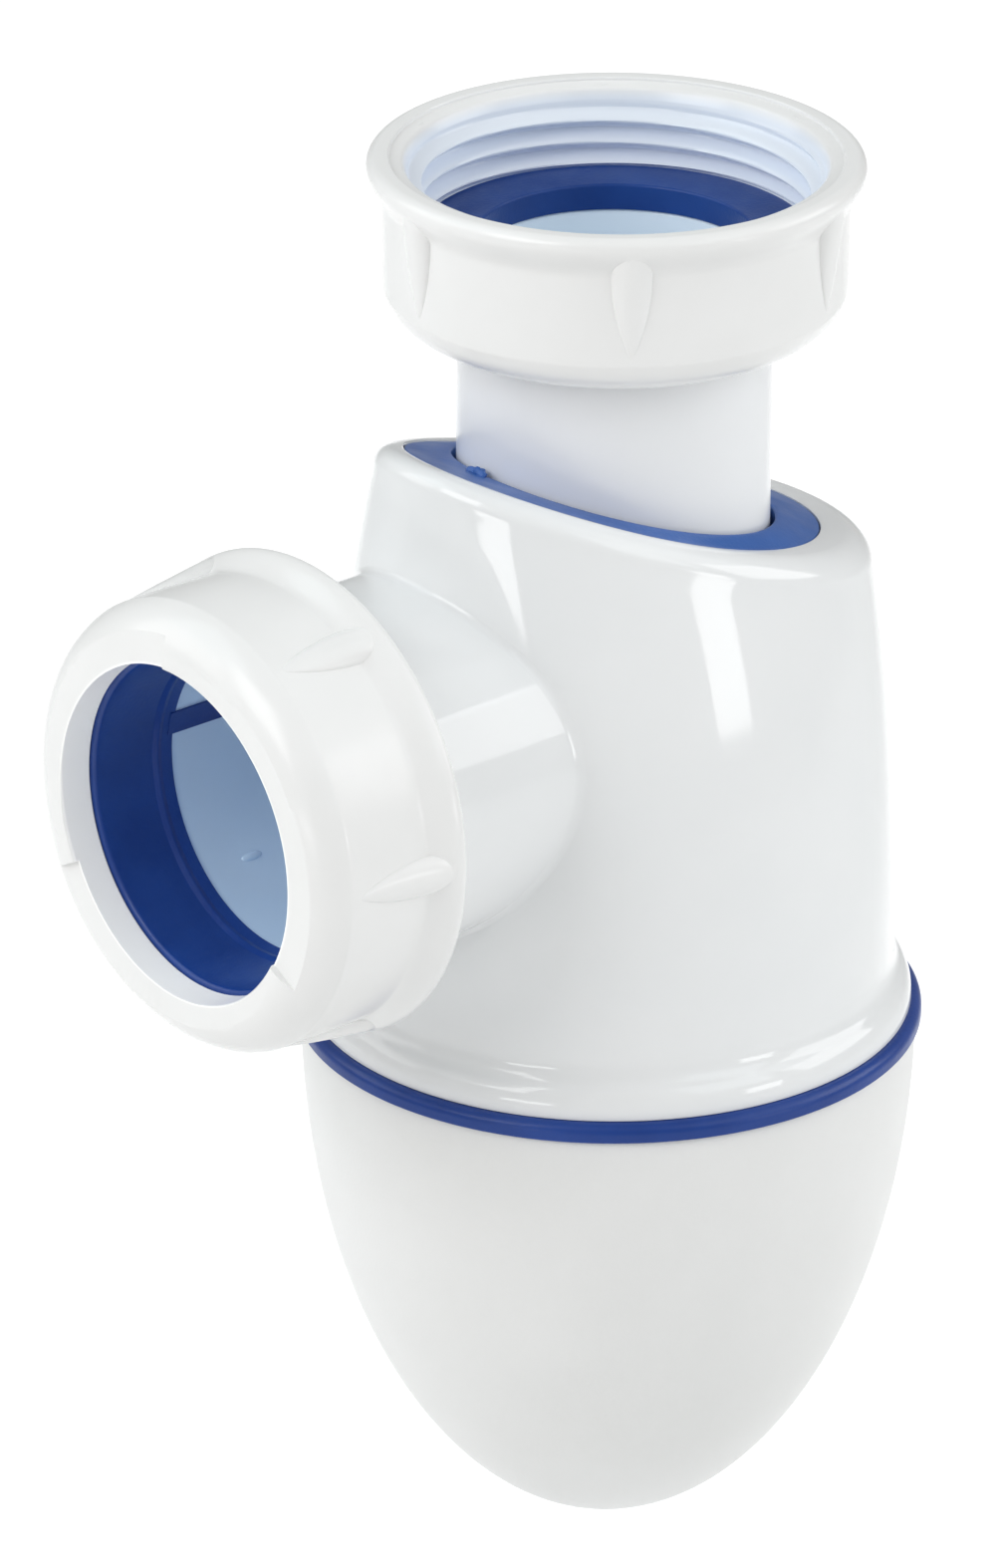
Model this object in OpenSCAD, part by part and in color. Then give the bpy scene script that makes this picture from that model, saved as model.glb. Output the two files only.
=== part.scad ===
// Basin bottle trap with a telescopic inlet and a horizontal outlet.
// Z points up along the inlet, X points out of the outlet. The origin is the
// centre of the inlet washer's upper face, where the basin waste seats.

/* [Union nut] */
// Height of a union nut from its plain face to the lip
nut_h = 17.6; // [16:0.1:22]
// Outside diameter of the nut's body
nut_d = 47; // [45:0.5:54]
// Outside diameter of the flared lip
lip_d = 50.2; // [48.6:0.2:58]
// Radius of the rounded corner at the plain face
nut_corner_r = 5.2; // [3:0.1:5.4]
// Minor diameter of the inch and a quarter pipe thread
thread_d = 39; // [38.8:0.1:39.2]
// Diameter of the plain hole that the tube or the pipe passes
nut_hole_d = 35; // [34:0.2:36]
// Thickness of the plain shoulder behind the face
shoulder_t = 4; // [3:0.1:5]
// Number of grip ribs
rib_count = 6; // [3:1:12]
// Widest part of a grip rib
rib_w = 4; // [2:0.1:5]
// Turn of the inlet nut's ribs, in degrees
inlet_clocking = 52; // [0:1:60]
// Turn of the outlet nut's ribs, in degrees
outlet_clocking = 30; // [0:1:60]

/* [Inlet] */
// Outside diameter of the sliding inlet tube
tube_d = 32; // [31:0.1:32.6]
// Wall of the inlet tube
tube_wall = 1.8; // [1.2:0.1:2.5]
// Length of the inlet tube with its flange
tube_len = 90; // [75:1:100]
// Diameter of the tube's flange
flange_d = 38.6; // [37:0.1:38.6]
// Thickness of the tube's flange
flange_t = 2.4; // [1.6:0.1:3]
// Thickness of the flat washer
washer_t = 2.8; // [2:0.1:4]
// Hole in the flat washer
washer_hole_d = 27.8; // [24:0.1:30]

/* [Body] */
// Drop from the inlet face to the slanted top, on the axis
top_drop = 28.5; // [24:0.5:45]
// Drop from the inlet face to the cup joint
joint_drop = 84; // [80:1:110]
// Rise of the slanted top for each millimetre towards the outlet
top_slope = 0.318; // [0.1:0.01:0.4]
// Radius of the slanted top's hollow curve, seen from the side
top_curve_r = 167; // [120:1:400]
// Diameter of the round foot of the body
body_d = 59.2; // [56:0.2:62]
// Length of the oval at the slanted top
oval_len = 55.2; // [52:0.2:58]
// Width of the oval at the slanted top
oval_w = 44.4; // [43:0.2:50]
// Wall of the body
body_wall = 2.4; // [1.8:0.1:2.6]
// Height of the rounded collar over the joint
collar_h = 8.4; // [5:0.1:10]
// Outside diameter of the collar
collar_d = 63.2; // [62.4:0.2:64]
// Diameter of the threaded neck under the collar
neck_d = 56.8; // [54:0.2:57]
// Length of the threaded neck
neck_h = 12; // [9:0.5:14]

/* [Outlet] */
// Drop from the inlet face to the outlet's axis
outlet_drop = 49.3; // [48:0.1:70]
// Distance from the trap's axis to the outlet nut's face
outlet_reach = 58.4; // [54:0.2:80]
// Outside diameter of the outlet boss
boss_d = 37.5; // [36.5:0.1:38.6]
// Bore of the outlet socket for the waste pipe
socket_d = 32.2; // [32.1:0.1:32.6]
// Depth of the outlet socket, from its mouth to the pipe's stop
socket_depth = 24; // [18:0.5:25]
// Width of the stop at the bottom of the socket
stop_w = 1.4; // [0.8:0.1:2]

/* [Seals] */
// Length of the oval top seal
seal_len = 46; // [42:0.2:46]
// Width of the oval top seal
seal_w = 36.8; // [36.6:0.2:38]
// Thickness of the oval top seal
seal_t = 3.2; // [2:0.1:4]
// Ledge of the body under the top seal
ledge_t = 2.3; // [1.5:0.1:3]
// Height of the joint ring between the body and the cup
ring_t = 2; // [1.6:0.1:3]
// Outside diameter of the joint ring
ring_d = 65.4; // [64.6:0.2:67]
// Thickness of the outlet seal's flange
outlet_seal_t = 2.2; // [1.6:0.1:3]
// Depth of the outlet seal's skirt
skirt_len = 6.2; // [4:0.1:7]

/* [Cup] */
// Outside diameter of the cup's rim
cup_d = 64.2; // [63.6:0.2:66]
// Outside depth of the cup
cup_h = 57.4; // [52:0.2:70]
// Wall of the cup
cup_wall = 2.4; // [1.8:0.1:2.8]
// Water seal from the outlet's invert to the foot of the dip sleeve
water_seal = 50; // [45:1:52]
// Wall of the dip sleeve
sleeve_wall = 1.7; // [1.2:0.1:2]

/* [Hidden] */
$fn = 96;
oval_sides = 96;
form_sides = 60;

// Clearances: a running fit, a sliding fit in the sleeve and an overshoot for cuts
run_gap = 0.05;
slide_gap = 0.5;
cut_over = 1;

tube_r = tube_d / 2;
thread_r = thread_d / 2;
nut_r = nut_d / 2;
lip_r = lip_d / 2;
hole_r = nut_hole_d / 2;

// Union nut
lip_round = 1.1;
lip_flare = 5;
mouth_chamfer = 1.2;
mouth_r = thread_r + 2 * mouth_chamfer;
relief_r = thread_r + 0.4;
rib_len = nut_h - lip_round - nut_corner_r - cut_over;
rib_rise = lip_r - nut_r - 0.4;
ramp_steps = 8;

// Inlet stack, from the washer's face down
flange_z = -washer_t - flange_t;
inlet_nut_z = flange_z - shoulder_t;
relief_len = washer_t + flange_t;

// Body
joint_z = -joint_drop;
top_z = -top_drop;
base_z = joint_z + collar_h;
body_r = body_d / 2;
oval_rise = top_z - base_z;
slice_count = 6;
slice_t = 0.02;
slice_top = top_z + oval_len / 2 * top_slope + (oval_len / 2) * (oval_len / 2) / (2 * top_curve_r) + 2;
neck_r = neck_d / 2;
neck_wall = 2.6;
collar_r = collar_d / 2;
sleeve_r = tube_r + slide_gap + sleeve_wall;
deck_t = seal_t + ledge_t;

// Outlet, measured along X
outlet_z = -outlet_drop;
outlet_stop = outlet_reach - shoulder_t;
spigot_end = outlet_stop - outlet_seal_t;
spigot_start = outlet_reach - nut_h + 2;
boss_r = boss_d / 2;
socket_r = socket_d / 2;
skirt_wall = 0.9;
skirt_mouth_r = hole_r - skirt_wall / 2;
skirt_end_r = socket_r + 0.1;

// Cup
rim_z = joint_z - ring_t;
cup_r = cup_d / 2;
cup_steps = 40;
sleeve_foot = outlet_z - socket_r - water_seal;

// An oval as a polygon, a long and b wide
module oval(a, b, sides = oval_sides) {
    polygon([for (i = [0:sides - 1]) let (t = i * 360 / sides) [a / 2 * cos(t), b / 2 * sin(t)]]);
}

// Everything above the hollow slanted top, lowered by drop
module above_top(drop) {
    x = -top_slope * top_curve_r;
    lowest = top_z - top_curve_r * top_slope * top_slope / 2;
    translate([x, 0, lowest - drop + top_curve_r])
        rotate([90, 0, 0]) cylinder(h = body_d * 2, r = top_curve_r, center = true, $fn = 360);
}

// Solid oval form of the body, drawn in by inset; it narrows upwards along a shallow arc
module body_form(inset, low_z) {
    hull() for (i = [0:slice_count]) {
        z = low_z + (slice_top - low_z) * i / slice_count;
        t = max(0, z - base_z) / oval_rise;
        a = body_d - (body_d - oval_len) * t * t - 2 * inset;
        b = body_d - (body_d - oval_w) * t * t - 2 * inset;
        translate([0, 0, z]) linear_extrude(slice_t) oval(a, b, form_sides);
    }
}

// Outline of a union nut as [radius, height above its plain face]
function nut_outline() = concat(
    [[hole_r, 0]],
    [for (i = [0:ramp_steps]) let (t = -90 + i * 90 / ramp_steps)
        [nut_r - nut_corner_r + nut_corner_r * cos(t), nut_corner_r + nut_corner_r * sin(t)]],
    [for (i = [0:ramp_steps]) let (t = i / ramp_steps)
        [nut_r + (lip_r - nut_r) * t * t * (3 - 2 * t), nut_h - lip_round - lip_flare + lip_flare * t]],
    [for (i = [1:ramp_steps]) let (t = i * 90 / ramp_steps)
        [lip_r - lip_round + lip_round * cos(t), nut_h - lip_round + lip_round * sin(t)]],
    [[mouth_r, nut_h], [thread_r, nut_h - 2 * mouth_chamfer], [thread_r, shoulder_t + relief_len],
     [relief_r, shoulder_t + relief_len], [relief_r, shoulder_t], [hole_r, shoulder_t]]
);

// One boat-shaped grip rib, its tip at the corner and its stern under the lip
module rib_plan() {
    bow_r = (rib_len * rib_len + rib_w * rib_w / 4) / rib_w;
    intersection() {
        translate([0, bow_r - rib_w / 2]) circle(r = bow_r);
        translate([0, rib_w / 2 - bow_r]) circle(r = bow_r);
        translate([-rib_len, -rib_w]) square([rib_len + cut_over, 2 * rib_w]);
    }
}

module union_nut() {
    rib_z = nut_corner_r + rib_len;
    rotate_extrude() polygon(nut_outline());
    intersection() {
        for (i = [0:rib_count - 1])
            rotate([0, 0, i * 360 / rib_count]) translate([nut_r - cut_over, 0, rib_z])
                rotate([0, 90, 0]) rotate([0, 0, 180]) linear_extrude(lip_r - nut_r + cut_over) rib_plan();
        rotate_extrude() polygon([[nut_r - cut_over, nut_corner_r], [nut_r, nut_corner_r],
            [nut_r + rib_rise, rib_z - rib_len / 3], [nut_r + rib_rise, rib_z + cut_over],
            [nut_r - cut_over, rib_z + cut_over]]);
    }
}

module inlet_nut() {
    color("whitesmoke") translate([0, 0, inlet_nut_z]) rotate([0, 0, inlet_clocking]) union_nut();
}

module outlet_nut() {
    color("whitesmoke") translate([outlet_reach, 0, outlet_z])
        rotate([0, -90, 0]) rotate([0, 0, outlet_clocking]) union_nut();
}

module inlet_washer() {
    color("royalblue") translate([0, 0, -washer_t]) difference() {
        cylinder(h = washer_t, d = flange_d);
        translate([0, 0, -cut_over]) cylinder(h = washer_t + 2 * cut_over, d = washer_hole_d);
    }
}

module inlet_tube() {
    tube_top = -washer_t;
    color("aliceblue") difference() {
        union() {
            translate([0, 0, tube_top - tube_len]) cylinder(h = tube_len, d = tube_d);
            translate([0, 0, flange_z]) cylinder(h = flange_t, d = flange_d);
        }
        translate([0, 0, tube_top - tube_len - cut_over])
            cylinder(h = tube_len + 2 * cut_over, r = tube_r - tube_wall);
    }
}

// The seal's oval plate lies flush in the slanted top and wipes the tube
module top_seal() {
    color("royalblue") difference() {
        translate([0, 0, top_z - body_d / 2])
            linear_extrude(body_d) oval(seal_len - 2 * run_gap, seal_w - 2 * run_gap);
        above_top(0);
        translate([0, 0, top_z - body_d]) cylinder(h = body_d * 2, r = tube_r + run_gap);
        difference() {
            translate([0, 0, top_z]) cube([body_d * 2, body_d * 2, body_d * 2], center = true);
            above_top(seal_t);
        }
    }
}

// Fixed sleeve round the tube; its foot sets the water seal wherever the tube stands
module dip_sleeve() {
    color("aliceblue") difference() {
        translate([0, 0, sleeve_foot]) cylinder(h = top_z - sleeve_foot + seal_len / 2, r = sleeve_r);
        above_top(seal_t);
        translate([0, 0, sleeve_foot - cut_over])
            cylinder(h = top_z - sleeve_foot + body_d, r = tube_r + slide_gap);
    }
}

// Round collar with a convex shoulder over the joint ring, and the threaded neck below it
module body_collar() {
    translate([0, 0, joint_z]) rotate_extrude() polygon(concat(
        [[neck_r - neck_wall, -neck_h], [neck_r, -neck_h], [neck_r, 0], [collar_r, 0]],
        [for (i = [0:ramp_steps]) let (t = i * 90 / ramp_steps)
            [body_r - 0.2 + (collar_r - body_r + 0.2) * cos(t), 0.6 + (collar_h - 0.6) * sin(t)]],
        [[neck_r - neck_wall, collar_h]]
    ));
}

module outlet_boss() {
    translate([0, 0, outlet_z]) rotate([0, 90, 0]) {
        cylinder(h = spigot_end, r = boss_r);
        translate([0, 0, spigot_start]) cylinder(h = spigot_end - spigot_start, r = thread_r - run_gap);
    }
}

module body_cavity() {
    difference() {
        body_form(body_wall, base_z);
        above_top(deck_t);
    }
    translate([0, 0, joint_z - neck_h - cut_over])
        cylinder(h = neck_h + collar_h + 2 * cut_over, r = neck_r - neck_wall);
}

module body() {
    color("white") difference() {
        union() {
            difference() {
                body_form(0, base_z);
                above_top(0);
            }
            body_collar();
            outlet_boss();
        }
        body_cavity();
        intersection() {
            translate([0, 0, top_z - body_d / 2]) linear_extrude(body_d) oval(seal_len, seal_w);
            above_top(seal_t);
        }
        translate([0, 0, top_z - body_d / 2]) cylinder(h = body_d, r = sleeve_r + run_gap);
        translate([0, 0, outlet_z]) rotate([0, 90, 0]) {
            cylinder(h = outlet_reach, r = socket_r - stop_w);
            translate([0, 0, spigot_end - socket_depth]) cylinder(h = outlet_reach, r = socket_r);
            translate([0, 0, spigot_end - skirt_len - run_gap])
                cylinder(h = skirt_len + 2 * run_gap, r1 = skirt_end_r + skirt_wall,
                         r2 = skirt_mouth_r + skirt_wall);
        }
    }
}

// Flange clamped behind the nut's shoulder, with a skirt that tapers in towards the pipe
module outlet_seal() {
    color("royalblue") translate([spigot_end, 0, outlet_z]) rotate([0, 90, 0]) rotate_extrude() polygon([
        [skirt_end_r, -skirt_len], [skirt_end_r + skirt_wall - run_gap, -skirt_len],
        [skirt_mouth_r + skirt_wall - 2 * run_gap, 0], [flange_d / 2, 0],
        [flange_d / 2, outlet_seal_t], [skirt_mouth_r, outlet_seal_t]
    ]);
}

// Band with a rounded outer edge, pinched between the collar and the cup's rim
module joint_ring() {
    edge_r = ring_d / 2 - ring_t / 2;
    color("royalblue") translate([0, 0, rim_z]) rotate_extrude() polygon(concat(
        [[neck_r + 4 * run_gap, 0]],
        [for (i = [0:ramp_steps]) let (t = -90 + i * 180 / ramp_steps)
            [edge_r + ring_t / 2 * cos(t), ring_t / 2 + ring_t / 2 * sin(t)]],
        [[neck_r + 4 * run_gap, ring_t]]
    ));
}

// Profile of half an ellipse from the bottom up, r wide and h deep, under height top
function bowl(r, h, top) = [for (i = [0:cup_steps]) let (t = 90 - i * 90 / cup_steps) if (h * sin(t) >= -top)
    [r * cos(t), -h * sin(t)]];

module cup() {
    inner_r = cup_r - cup_wall;
    socket_end = neck_h + 0.5;
    color("white") translate([0, 0, rim_z]) difference() {
        rotate_extrude() polygon(concat([[0, 0]], bowl(cup_r, cup_h, 0)));
        rotate_extrude() polygon(concat([[0, -socket_end + ring_t]],
            bowl(inner_r, cup_h - cup_wall, -socket_end + ring_t),
            [[inner_r * cos(asin((socket_end - ring_t) / (cup_h - cup_wall))), -socket_end + ring_t]]));
        translate([0, 0, -socket_end + ring_t])
            cylinder(h = socket_end, r = neck_r + 2 * run_gap);
    }
}

inlet_nut();
inlet_washer();
inlet_tube();
top_seal();
dip_sleeve();
body();
outlet_seal();
outlet_nut();
joint_ring();
cup();
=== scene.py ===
import math
import bmesh
import bpy
from mathutils import Matrix, Vector


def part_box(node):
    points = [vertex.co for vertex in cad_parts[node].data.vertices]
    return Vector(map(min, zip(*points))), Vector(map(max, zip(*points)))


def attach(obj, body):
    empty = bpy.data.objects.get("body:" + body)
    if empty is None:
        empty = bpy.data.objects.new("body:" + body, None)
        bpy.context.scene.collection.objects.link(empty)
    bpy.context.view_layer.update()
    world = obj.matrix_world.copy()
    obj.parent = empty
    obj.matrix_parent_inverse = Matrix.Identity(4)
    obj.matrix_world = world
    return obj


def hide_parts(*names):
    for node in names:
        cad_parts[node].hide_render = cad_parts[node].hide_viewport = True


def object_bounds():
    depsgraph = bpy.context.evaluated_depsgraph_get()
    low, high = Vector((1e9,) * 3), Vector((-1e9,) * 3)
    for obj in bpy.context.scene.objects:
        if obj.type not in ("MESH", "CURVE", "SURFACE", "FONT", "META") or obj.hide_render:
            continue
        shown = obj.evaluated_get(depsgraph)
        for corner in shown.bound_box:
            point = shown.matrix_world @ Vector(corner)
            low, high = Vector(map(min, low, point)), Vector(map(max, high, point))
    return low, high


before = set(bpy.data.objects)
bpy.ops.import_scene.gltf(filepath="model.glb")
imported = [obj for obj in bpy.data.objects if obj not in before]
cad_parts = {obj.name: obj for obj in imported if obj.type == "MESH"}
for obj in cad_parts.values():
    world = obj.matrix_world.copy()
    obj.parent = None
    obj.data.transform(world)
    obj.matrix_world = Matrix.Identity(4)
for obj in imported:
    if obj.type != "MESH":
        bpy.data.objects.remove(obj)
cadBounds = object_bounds()
print("frame loaded:", ", ".join(sorted(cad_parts)))

mm = 0.001
fullTurn = 2 * math.pi
quarterTurn = math.pi / 2
tiny = 1e-6             # a shorter length counts as nothing, in millimetres
joinDistance = 1e-4     # closer vertices become one, in millimetres
cutJoinDistance = 2e-4  # the same after a boolean

# where the main pieces stand, in millimetres, taken from the frame
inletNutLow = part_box("inlet_nut")[0] / mm
outletNutLow, outletNutHigh = (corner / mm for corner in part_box("outlet_nut"))
ringLow, ringHigh = (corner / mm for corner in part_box("joint_ring"))
washerLow, washerHigh = (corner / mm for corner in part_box("inlet_washer"))
tubeLow, tubeHigh = (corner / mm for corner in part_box("inlet_tube"))
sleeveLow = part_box("dip_sleeve")[0] / mm
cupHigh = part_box("cup")[1] / mm
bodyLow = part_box("body")[0] / mm
outletZ = (outletNutLow.z + outletNutHigh.z) / 2
outletFaceX = outletNutHigh.x


def smoothStep(low, high, value):
    share = min(1, max(0, (value - low) / (high - low)))
    return share * share * (3 - 2 * share)


def shares(count, first=0):
    # equal shares of the way from 0 to 1
    return [step / count for step in range(first, count + 1)]


def curvePoint(start, corner, end, share):
    # a point on the smooth curve from start to end that leans towards corner
    return start * (1 - share) ** 2 + corner * 2 * share * (1 - share) + end * share ** 2


def rounded(corners, pieces=5):
    # a closed outline with its corners rounded; each corner is (radius, height, rounding)
    outline = []
    for index, (radius, height, rounding) in enumerate(corners):
        here = Vector((radius, height))
        back = Vector(corners[index - 1][:2]) - here
        ahead = Vector(corners[(index + 1) % len(corners)][:2]) - here
        if rounding <= 0 or back.length < tiny or ahead.length < tiny:
            outline.append((radius, height))
            continue
        half = back.angle(ahead) / 2
        # a rounding takes up less than half of each side
        reach = min(rounding / math.tan(half), back.length * 0.49, ahead.length * 0.49)
        start, end = here + back.normalized() * reach, here + ahead.normalized() * reach
        outline += [tuple(curvePoint(start, here, end, share)) for share in shares(pieces)]
    return outline


def arc(centreR, centreH, radiusR, radiusH, fromDeg, toDeg, pieces):
    turns = [math.radians(fromDeg + (toDeg - fromDeg) * share) for share in shares(pieces)]
    return [(centreR + radiusR * math.cos(turn), centreH + radiusH * math.sin(turn)) for turn in turns]


def rows(radius, fromH, toH, pitch):
    count = max(1, math.ceil(abs(toH - fromH) / pitch))
    return [(radius, fromH + (toH - fromH) * share) for share in shares(count)]


def spun(outline, steps):
    # a closed outline of (radius, height) turned once round Z
    solid = bmesh.new()
    corners = [solid.verts.new((radius, 0, height)) for radius, height in outline]
    pairs = [(corners[index - 1], corners[index]) for index in range(len(corners))]
    edges = [solid.edges.new(pair) for pair in pairs if (pair[0].co - pair[1].co).length > tiny / 10]
    bmesh.ops.spin(solid, geom=corners + edges, cent=(0, 0, 0), axis=(0, 0, 1),
                   angle=fullTurn, steps=steps, use_merge=True)
    bmesh.ops.remove_doubles(solid, verts=solid.verts, dist=joinDistance)
    bmesh.ops.recalc_face_normals(solid, faces=solid.faces)
    return solid


def lofted(ringShapes, steps):
    # closed rings joined one to the next and the last to the first; a shape gives the point at an angle
    solid = bmesh.new()
    first = bmesh.ops.create_circle(solid, segments=steps, radius=1)["verts"]
    angles = {vert: math.atan2(vert.co.y, vert.co.x) for vert in first}
    firstEdges = list({edge for vert in first for edge in vert.link_edges})
    for vert in first:
        vert.co = ringShapes[0](angles[vert])
    ring, edges = list(first), firstEdges
    for shape in ringShapes[1:]:
        grown = bmesh.ops.extrude_edge_only(solid, edges=edges)["geom"]
        newVerts = [part for part in grown if isinstance(part, bmesh.types.BMVert)]
        newEdges = [part for part in grown if isinstance(part, bmesh.types.BMEdge)]
        isNew = set(newVerts)
        nextAngles = {}
        for vert in ring:
            for edge in vert.link_edges:
                other = edge.other_vert(vert)
                if other in isNew:
                    nextAngles[other] = angles[vert]
        for vert in newVerts:
            vert.co = shape(nextAngles[vert])
        ring, angles = newVerts, nextAngles
        edges = [edge for edge in newEdges if edge.verts[0] in isNew and edge.verts[1] in isNew]
    bmesh.ops.bridge_loops(solid, edges=edges + firstEdges)
    bmesh.ops.remove_doubles(solid, verts=solid.verts, dist=joinDistance)
    bmesh.ops.recalc_face_normals(solid, faces=solid.faces)
    return solid


def turned(solid, degrees, axis):
    turn = Matrix.Rotation(math.radians(degrees), 3, axis)
    bmesh.ops.rotate(solid, cent=(0, 0, 0), matrix=turn, verts=solid.verts)


def moved(solid, x, z):
    bmesh.ops.translate(solid, vec=(x, 0, z), verts=solid.verts)


def asObject(solid, name):
    mesh = bpy.data.meshes.new(name)
    solid.to_mesh(mesh)
    solid.free()
    made = bpy.data.objects.new(name, mesh)
    bpy.context.scene.collection.objects.link(made)
    return made


def combined(base, tool, operation):
    # both are used up; the result comes back as a new bmesh
    baseObject, toolObject = asObject(base, "base"), asObject(tool, "tool")
    cut = baseObject.modifiers.new("cut", "BOOLEAN")
    cut.operation, cut.object, cut.solver = operation, toolObject, "EXACT"
    evaluated = baseObject.evaluated_get(bpy.context.evaluated_depsgraph_get())
    result = bmesh.new()
    result.from_mesh(evaluated.to_mesh())
    evaluated.to_mesh_clear()
    for used in (baseObject, toolObject):
        mesh = used.data
        bpy.data.objects.remove(used)
        bpy.data.meshes.remove(mesh)
    bmesh.ops.remove_doubles(result, verts=result.verts, dist=cutJoinDistance)
    bmesh.ops.dissolve_degenerate(result, edges=result.edges, dist=cutJoinDistance)
    return result


def merged(target, extra):
    # adds a separate shell to a piece
    mesh = bpy.data.meshes.new("extra")
    extra.to_mesh(mesh)
    extra.free()
    target.from_mesh(mesh)
    bpy.data.meshes.remove(mesh)
    return target


shading = {"sharpDeg": 31, "evenWeight": 50}


def finished(solid, name, body, nodes, material):
    bmesh.ops.scale(solid, vec=(mm, mm, mm), verts=solid.verts)
    piece = asObject(solid, name)
    piece.data.shade_smooth()
    piece.data.set_sharp_from_angle(angle=math.radians(shading["sharpDeg"]))
    even = piece.modifiers.new("even", "WEIGHTED_NORMAL")
    even.keep_sharp, even.weight = True, shading["evenWeight"]
    piece.data.materials.append(material)
    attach(piece, body)
    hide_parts(*nodes)
    print(name, "made:", len(piece.data.polygons), "faces")


def threadBump(height, azimuth, crestHeight, lead):
    # 1 on the crest of a right-handed thread and 0 in its root
    turns = (height - crestHeight) / lead - azimuth / fullTurn
    return 0.5 + 0.5 * math.cos(fullTurn * turns)


# finishes: clouds in the colour, an uneven gloss, the mould's fine grain and a slight waviness
texture = {"cloudEdges": (0.32, 0.68), "cloudDetail": 3, "glossEdges": (0.3, 0.7), "glossScale": 2.3,
           "glossDetail": 4, "grainDetail": 2, "grainRough": 0.6, "waveScale": 90, "waveDetail": 1,
           "waveDepth": 0.0004}
mixColourA, mixColourB, mixColourResult = 6, 7, 2     # the colour sockets of a mix node


def plastic(name, look):
    material = bpy.data.materials.new(name)
    material.use_nodes = True
    nodes, links = material.node_tree.nodes, material.node_tree.links
    shader = nodes["Principled BSDF"]
    place = nodes.new("ShaderNodeTexCoord")
    centre = nodes.new("ShaderNodeMapping")
    centre.inputs["Location"].default_value = look["centre"]
    links.new(place.outputs["Object"], centre.inputs["Vector"])

    def noiseAt(scale, detail, rough=0.5):
        pattern = nodes.new("ShaderNodeTexNoise")
        pattern.inputs["Scale"].default_value = scale
        pattern.inputs["Detail"].default_value = detail
        pattern.inputs["Roughness"].default_value = rough
        links.new(centre.outputs["Vector"], pattern.inputs["Vector"])
        return pattern.outputs["Fac"]

    tint = nodes.new("ShaderNodeValToRGB")
    deepEnd, paleEnd = tint.color_ramp.elements
    deepEnd.position, paleEnd.position = texture["cloudEdges"]
    deepEnd.color, paleEnd.color = (*look["deep"], 1), (*look["pale"], 1)
    links.new(noiseAt(look["cloud"], texture["cloudDetail"]), tint.inputs["Fac"])
    # painted glow: emission makes the plastic give off light of its own, lifting its shade
    shader.inputs["Emission Color"].default_value = (*look["paintedGlow"], 1)
    shader.inputs["Emission Strength"].default_value = 1 if sum(look["paintedGlow"]) > 0 else 0
    paintedBoreLight = look.get("paintedBoreLight")
    if paintedBoreLight:
        # painted light: inside a bore the colour is blended towards a given tint and the surface is made to
        # glow, in place of the light bounced there off the blue seals and of the bore's shade
        flat = nodes.new("ShaderNodeMapping")
        flat.inputs["Location"].default_value = paintedBoreLight["shift"]
        flat.inputs["Scale"].default_value = paintedBoreLight["across"]
        links.new(place.outputs["Object"], flat.inputs["Vector"])
        reach = nodes.new("ShaderNodeVectorMath")
        reach.operation = "LENGTH"
        links.new(flat.outputs["Vector"], reach.inputs[0])
        inside = nodes.new("ShaderNodeMapRange")
        inside.interpolation_type = "SMOOTHSTEP"
        inside.inputs["From Min"].default_value = paintedBoreLight["radius"] + paintedBoreLight["soft"]
        inside.inputs["From Max"].default_value = paintedBoreLight["radius"]
        links.new(reach.outputs["Value"], inside.inputs["Value"])
        apart = nodes.new("ShaderNodeSeparateXYZ")
        links.new(place.outputs["Object"], apart.inputs["Vector"])
        beyond = nodes.new("ShaderNodeMapRange")
        beyond.inputs["From Min"].default_value, beyond.inputs["From Max"].default_value = paintedBoreLight["start"]
        links.new(apart.outputs[paintedBoreLight["axis"]], beyond.inputs["Value"])
        both = nodes.new("ShaderNodeMath")
        both.operation = "MULTIPLY"
        links.new(inside.outputs["Result"], both.inputs[0])
        links.new(beyond.outputs["Result"], both.inputs[1])
        blend = nodes.new("ShaderNodeMix")
        blend.data_type = "RGBA"
        links.new(both.outputs["Value"], blend.inputs["Factor"])
        links.new(tint.outputs["Color"], blend.inputs[mixColourA])
        blend.inputs[mixColourB].default_value = (*paintedBoreLight["colour"], 1)
        links.new(blend.outputs[mixColourResult], shader.inputs["Base Color"])
        shader.inputs["Emission Color"].default_value = (*paintedBoreLight["light"], 1)
        links.new(both.outputs["Value"], shader.inputs["Emission Strength"])
    else:
        links.new(tint.outputs["Color"], shader.inputs["Base Color"])

    gloss = nodes.new("ShaderNodeMapRange")
    gloss.inputs["From Min"].default_value, gloss.inputs["From Max"].default_value = texture["glossEdges"]
    gloss.inputs["To Min"].default_value, gloss.inputs["To Max"].default_value = look["rough"]
    links.new(noiseAt(look["cloud"] * texture["glossScale"], texture["glossDetail"]), gloss.inputs["Value"])
    links.new(gloss.outputs["Result"], shader.inputs["Roughness"])

    grain = nodes.new("ShaderNodeBump")
    grain.inputs["Strength"].default_value = look["grain"]
    grain.inputs["Distance"].default_value = look["grainDepth"]
    fineNoise = noiseAt(look["grainScale"], texture["grainDetail"], texture["grainRough"])
    links.new(fineNoise, grain.inputs["Height"])
    wave = nodes.new("ShaderNodeBump")
    wave.inputs["Strength"].default_value = look["wave"]
    wave.inputs["Distance"].default_value = texture["waveDepth"]
    links.new(noiseAt(texture["waveScale"], texture["waveDetail"]), wave.inputs["Height"])
    links.new(wave.outputs["Normal"], grain.inputs["Normal"])
    links.new(grain.outputs["Normal"], shader.inputs["Normal"])

    shader.inputs["IOR"].default_value = look["ior"]
    return material
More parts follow.
